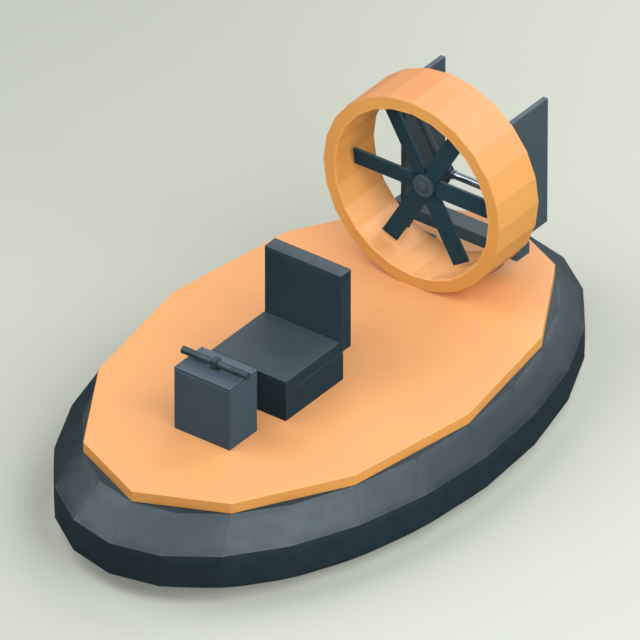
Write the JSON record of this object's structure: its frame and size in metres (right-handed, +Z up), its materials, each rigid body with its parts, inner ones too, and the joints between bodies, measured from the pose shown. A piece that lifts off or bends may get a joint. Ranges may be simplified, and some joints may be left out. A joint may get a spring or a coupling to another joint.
{
  "type": "single-seat hovercraft",
  "caption": "Light hovercraft: faceted deck on a bag skirt, box seat, console with handlebar, ducted stern fan and twin air rudders linked by a tie rod.",
  "frame": {"origin": "on the ground under the middle of the hull", "axes": "+Z up, +Y towards the stern along the hull, +X towards the port side"},
  "size_m": [2.184, 3.674, 1.6796],
  "materials": {
    "orange_gelcoat": "satin gelcoat",
    "hull_gelcoat": "dark gelcoat",
    "skirt_cloth": "coated nylon cloth",
    "skid_plastic": "slick polyethylene",
    "battery_case": "moulded case",
    "seat_vinyl": "grained marine vinyl",
    "slate_moulding": "satin moulding",
    "bracket_steel": "zinc plated",
    "bush_bronze": "machined",
    "bar_enamel": "satin enamel",
    "grip_rubber": "ribbed",
    "blade_composite": "satin moulded composite",
    "hub_enamel": "satin enamel",
    "strut_enamel": "gloss enamel",
    "polished_steel": "polished",
    "rudder_enamel": "satin enamel"
  },
  "bodies": {
    "hull": {"hull_tub": "hull_gelcoat", "battery_pack": "battery_case", "landing_skid_port": "skid_plastic", "landing_skid_starboard": "skid_plastic", "deck": "orange_gelcoat", "skirt_bow_port": "skirt_cloth", "skirt_bow_starboard": "skirt_cloth", "skirt_stern_port": "skirt_cloth", "skirt_stern_starboard": "skirt_cloth", "seat_box": "seat_vinyl", "seat_cushion": "seat_vinyl", "backrest_pad": "seat_vinyl", "backrest_shell": "seat_vinyl", "backrest_bracket_port": "bracket_steel", "backrest_bracket_starboard": "bracket_steel", "console_body": "slate_moulding", "console_lid": "slate_moulding", "steering_bush": "bush_bronze", "duct_ring": "orange_gelcoat", "duct_foot_port": "orange_gelcoat", "duct_foot_starboard": "orange_gelcoat", "motor_housing": "hub_enamel", "motor_strut_port": "strut_enamel", "motor_strut_upper": "strut_enamel", "motor_strut_lower": "strut_enamel", "beam_bracket_port": "rudder_enamel", "beam_bracket_starboard": "rudder_enamel", "rudder_beam": "rudder_enamel", "rudder_bearing_port": "bush_bronze", "rudder_bearing_starboard": "bush_bronze"},
    "handlebar": {"steering_stem": "bar_enamel", "handlebar_tube": "bar_enamel", "grip_port": "grip_rubber", "grip_starboard": "grip_rubber", "throttle_lever": "bar_enamel"},
    "fan": {"fan_hub": "hub_enamel", "fan_blade_1": "blade_composite", "fan_blade_2": "blade_composite", "fan_blade_3": "blade_composite", "fan_blade_4": "blade_composite", "fan_blade_5": "blade_composite", "fan_blade_6": "blade_composite"},
    "rudder_port": {"rudder_port": "rudder_enamel", "rudder_stock_port": "bracket_steel"},
    "rudder_starboard": {"rudder_starboard": "rudder_enamel", "rudder_stock_starboard": "bracket_steel"},
    "tie_rod": {"tie_rod": "polished_steel"}
  },
  "joints": [
    {"name": "fan_spin", "type": "hinge", "parent": "hull", "child": "fan", "pos_m": [0, 0.929, 1.098], "axis": [0, 1, 0], "continuous": true},
    {"name": "handlebar_turn", "type": "hinge", "parent": "hull", "child": "handlebar", "pos_m": [0, -0.914, 0.942], "axis": [0, 0, 1], "range_deg": [-35, 35]},
    {"name": "rudder_port_turn", "type": "hinge", "parent": "hull", "child": "rudder_port", "pos_m": [0.337, 1.241, 0.7], "axis": [0, 0, 1], "range_deg": [-30, 30]},
    {"name": "rudder_starboard_turn", "type": "hinge", "parent": "hull", "child": "rudder_starboard", "pos_m": [-0.337, 1.241, 0.7], "axis": [0, 0, 1], "range_deg": [-30, 30]},
    {"name": "tie_rod_swing", "type": "hinge", "parent": "rudder_port", "child": "tie_rod", "pos_m": [0.337, 1.361, 0.645], "axis": [0, 0, 1], "range_deg": [-30, 30]}
  ],
  "couplings": [
    {"joint": "rudder_port_turn", "follows": "handlebar_turn", "ratio": -0.857},
    {"joint": "rudder_starboard_turn", "follows": "handlebar_turn", "ratio": -0.857},
    {"joint": "tie_rod_swing", "follows": "handlebar_turn", "ratio": 0.857}
  ]
}
